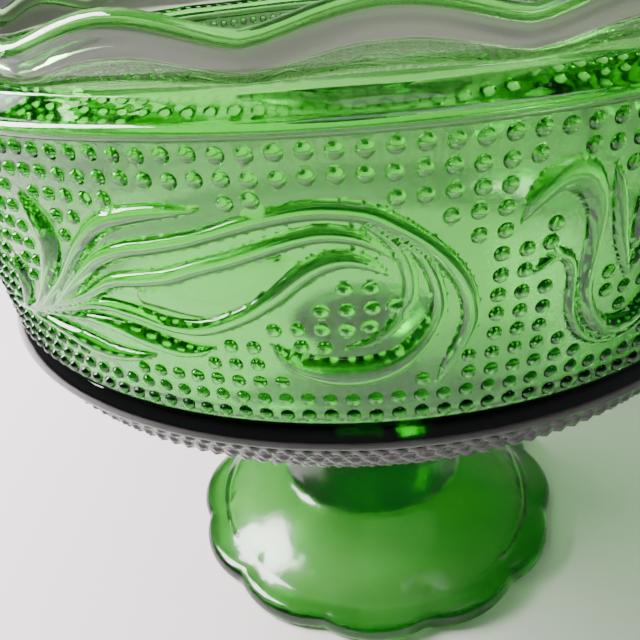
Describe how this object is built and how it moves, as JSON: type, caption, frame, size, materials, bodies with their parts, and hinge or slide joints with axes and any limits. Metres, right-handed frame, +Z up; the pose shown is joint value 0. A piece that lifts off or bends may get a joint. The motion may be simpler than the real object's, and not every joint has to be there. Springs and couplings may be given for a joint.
{
  "type": "footed glass candy dish",
  "caption": "Footed dish in pressed green glass: a drum-shaped bowl with a scalloped rim and raised pattern, on a short stem and domed foot.",
  "frame": {"origin": "centre of the ring that the foot stands on, at table level", "axes": "+Z up along the centre line; the front of the pattern faces -Y, +X to its right"},
  "size_m": [0.1792, 0.1792, 0.1536],
  "materials": {
    "green_glass": "polished, clear green all through"
  },
  "bodies": {
    "root": {"bowl": "green_glass", "wafer": "green_glass", "pedestal": "green_glass"}
  },
  "joints": []
}
